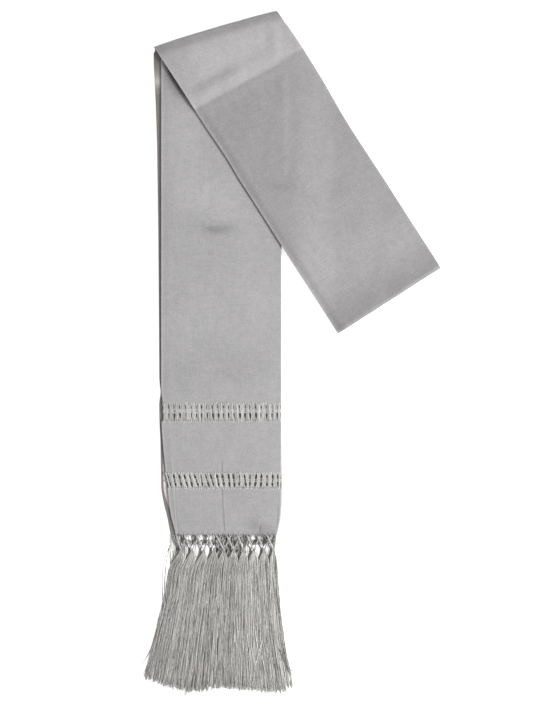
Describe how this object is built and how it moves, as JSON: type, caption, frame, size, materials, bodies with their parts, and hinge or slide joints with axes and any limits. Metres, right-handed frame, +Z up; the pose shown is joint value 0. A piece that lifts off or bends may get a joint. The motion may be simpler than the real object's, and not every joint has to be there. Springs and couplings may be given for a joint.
{
  "type": "folded evening stole",
  "caption": "Narrow silk satin stole laid flat, folded at mid length and turned over at the top, with openwork bands and a knotted fringe.",
  "frame": {"origin": "on the surface that the stole lies on, under the middle of its box", "axes": "+Y runs up the straight run from the fringe to the top fold, +X points to the side that the turned run leans to, +Z is up from the surface"},
  "size_m": [0.2967, 0.6804, 0.0091],
  "materials": {
    "straight_satin": "silver-grey silk satin, soft sheen",
    "turned_satin": "silver-grey silk satin, soft sheen",
    "under_satin": "silver-grey silk satin in shade",
    "front_fringe_silk": "loose warm grey silk thread",
    "back_fringe_silk": "loose warm grey silk thread"
  },
  "bodies": {
    "root": {"straight_run": "straight_satin", "turned_run": "turned_satin", "hidden_layers": "under_satin", "front_fringe": "front_fringe_silk", "back_fringe": "back_fringe_silk"}
  },
  "joints": []
}
